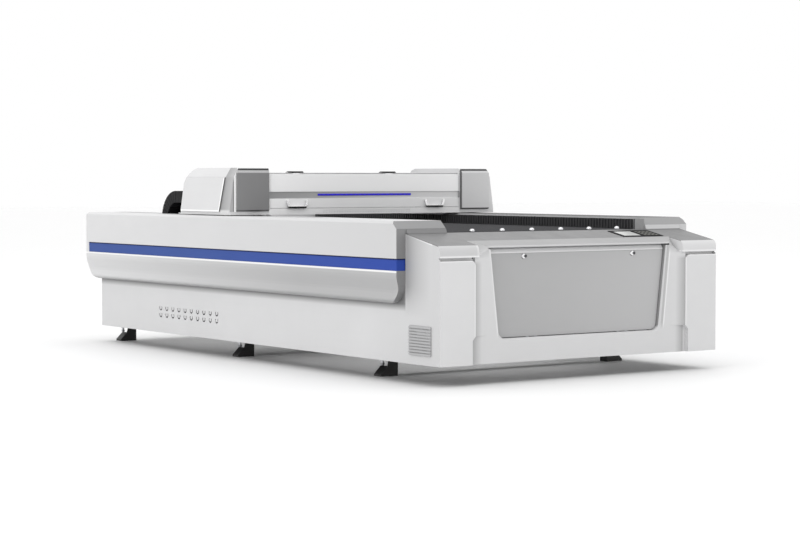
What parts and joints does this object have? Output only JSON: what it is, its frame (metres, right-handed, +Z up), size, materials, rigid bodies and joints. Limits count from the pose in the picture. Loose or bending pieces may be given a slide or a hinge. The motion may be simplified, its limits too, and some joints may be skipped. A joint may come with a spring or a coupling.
{
  "type": "carbon dioxide laser cutting machine",
  "caption": "Flatbed laser cutter: a long bed with raised side covers, a gantry across it on belts, knife blades between slotted racks, and a sloping front deck with a panel.",
  "frame": {"origin": "on the floor, under the centre of the whole machine's bounding box", "axes": "+X across the machine to the right as seen from its front, +Y from the front to the back along the bed, +Z up"},
  "size_m": [2.12, 4.01, 1.177],
  "materials": {
    "white_paint": "light powder coat, smooth, semi-gloss",
    "grey_paint": "mid-grey powder coat, satin",
    "door_paint": "light grey powder coat, satin",
    "dark_cover": "darker grey paint, satin",
    "light_cover": "light grey paint, satin",
    "frame_paint": "dark grey primer, matt",
    "black_paint": "black powder coat, matt",
    "rack_paint": "near-black coating, matt",
    "blue_band": "blue film, satin",
    "blade_steel": "dark anodised blades with fine streaks",
    "bar_paint": "dark grey, satin",
    "chrome": "polished steel",
    "steel": "machined steel",
    "alu": "satin anodised aluminium",
    "rubber_black": "black rubber, matt",
    "bezel_black": "black, semi-gloss",
    "screen": "pale grey display window",
    "keypad": "dark membrane with pale key fields",
    "chain_plastic": "black nylon links, matt",
    "led": "blue diffuser, lit",
    "tube_glass": "clear borosilicate glass",
    "motor_paint": "black housing, satin"
  },
  "bodies": {
    "base": {"base_rails": "frame_paint", "cross_members": "frame_paint", "posts": "frame_paint", "rail_beams": "frame_paint", "table_beams": "frame_paint", "feet": "black_paint", "levelling_bolts": "steel", "side_panel_left": "white_paint", "side_panel_right": "white_paint", "rear_panel": "white_paint", "rear_hood": "white_paint", "front_plate": "white_paint", "front_pillars": "white_paint", "shoulder_caps": "white_paint", "deck": "grey_paint", "side_grilles": "grey_paint", "panel_bezel": "bezel_black", "panel_screen": "screen", "panel_keypad": "keypad", "door_hinges": "steel", "cover_left": "white_paint", "cover_left_inner": "white_paint", "cover_right": "white_paint", "side_stripes": "blue_band", "side_racks": "rack_paint", "blade_table": "blade_steel", "ball_rail": "bar_paint", "ball_units": "chrome", "guide_rails": "steel", "drive_belts": "rubber_black", "bearing_blocks": "frame_paint", "y_motor": "motor_paint", "power_supply": "light_cover"},
    "front_door": {"front_door": "door_paint"},
    "lock_left": {"lock_left": "chrome"},
    "lock_right": {"lock_right": "chrome"},
    "drive_shaft": {"drive_shaft": "steel"},
    "idler_left": {"idler_left": "alu"},
    "idler_right": {"idler_right": "alu"},
    "gantry": {"gantry_legs": "alu", "rail_blocks": "steel", "gantry_beam": "alu", "beam_housing": "white_paint", "end_box_left": "white_paint", "end_box_right": "white_paint", "box_front_left": "dark_cover", "box_front_right": "light_cover", "beam_hinges": "black_paint", "cable_chain": "chain_plastic", "laser_tube": "tube_glass", "mirrors": "alu", "x_motor": "motor_paint", "x_belt": "rubber_black"},
    "beam_door": {"beam_door": "white_paint", "light_strip": "led", "door_handles": "chrome"},
    "x_pulley": {"x_pulley": "alu"},
    "x_idler": {"x_idler": "alu"},
    "x_carriage": {"x_carriage": "alu"},
    "laser_head": {"laser_head": "alu"}
  },
  "joints": [
    {"name": "gantry_travel", "type": "slide", "parent": "base", "child": "gantry", "axis": [0, 1, 0], "range_m": [-1.75, 0.63]},
    {"name": "front_door_tilt", "type": "hinge", "parent": "base", "child": "front_door", "pos_m": [0, -1.944, 0.251], "axis": [1, 0, 0], "range_deg": [0, 30]},
    {"name": "lock_left_turn", "type": "hinge", "parent": "front_door", "child": "lock_left", "pos_m": [-0.395, -1.952, 0.687], "axis": [0, -1, 0], "range_deg": [0, 90]},
    {"name": "lock_right_turn", "type": "hinge", "parent": "front_door", "child": "lock_right", "pos_m": [0.395, -1.952, 0.687], "axis": [0, -1, 0], "range_deg": [0, 90]},
    {"name": "shaft_turn", "type": "hinge", "parent": "base", "child": "drive_shaft", "pos_m": [0, 1.825, 0.776], "axis": [1, 0, 0], "continuous": true},
    {"name": "idler_left_turn", "type": "hinge", "parent": "base", "child": "idler_left", "pos_m": [-0.68, -1.643, 0.776], "axis": [1, 0, 0], "continuous": true},
    {"name": "idler_right_turn", "type": "hinge", "parent": "base", "child": "idler_right", "pos_m": [0.68, -1.643, 0.776], "axis": [1, 0, 0], "continuous": true},
    {"name": "beam_door_lift", "type": "hinge", "parent": "gantry", "child": "beam_door", "pos_m": [0, 0.154, 1.152], "axis": [-1, 0, 0], "range_deg": [0, 100]},
    {"name": "carriage_travel", "type": "slide", "parent": "gantry", "child": "x_carriage", "axis": [1, 0, 0], "range_m": [-0.02, 1.22]},
    {"name": "head_lift", "type": "slide", "parent": "x_carriage", "child": "laser_head", "axis": [0, 0, 1], "range_m": [-0.008, 0.03]},
    {"name": "x_pulley_turn", "type": "hinge", "parent": "gantry", "child": "x_pulley", "pos_m": [-0.65, 0.436, 0.926], "axis": [0, 1, 0], "continuous": true},
    {"name": "x_idler_turn", "type": "hinge", "parent": "gantry", "child": "x_idler", "pos_m": [0.65, 0.436, 0.926], "axis": [0, 1, 0], "continuous": true}
  ],
  "couplings": [
    {"joint": "shaft_turn", "follows": "gantry_travel", "rad_per_m": -40},
    {"joint": "idler_left_turn", "follows": "gantry_travel", "rad_per_m": -40},
    {"joint": "idler_right_turn", "follows": "gantry_travel", "rad_per_m": -40},
    {"joint": "x_pulley_turn", "follows": "carriage_travel", "rad_per_m": 66.667},
    {"joint": "x_idler_turn", "follows": "carriage_travel", "rad_per_m": 66.667}
  ]
}
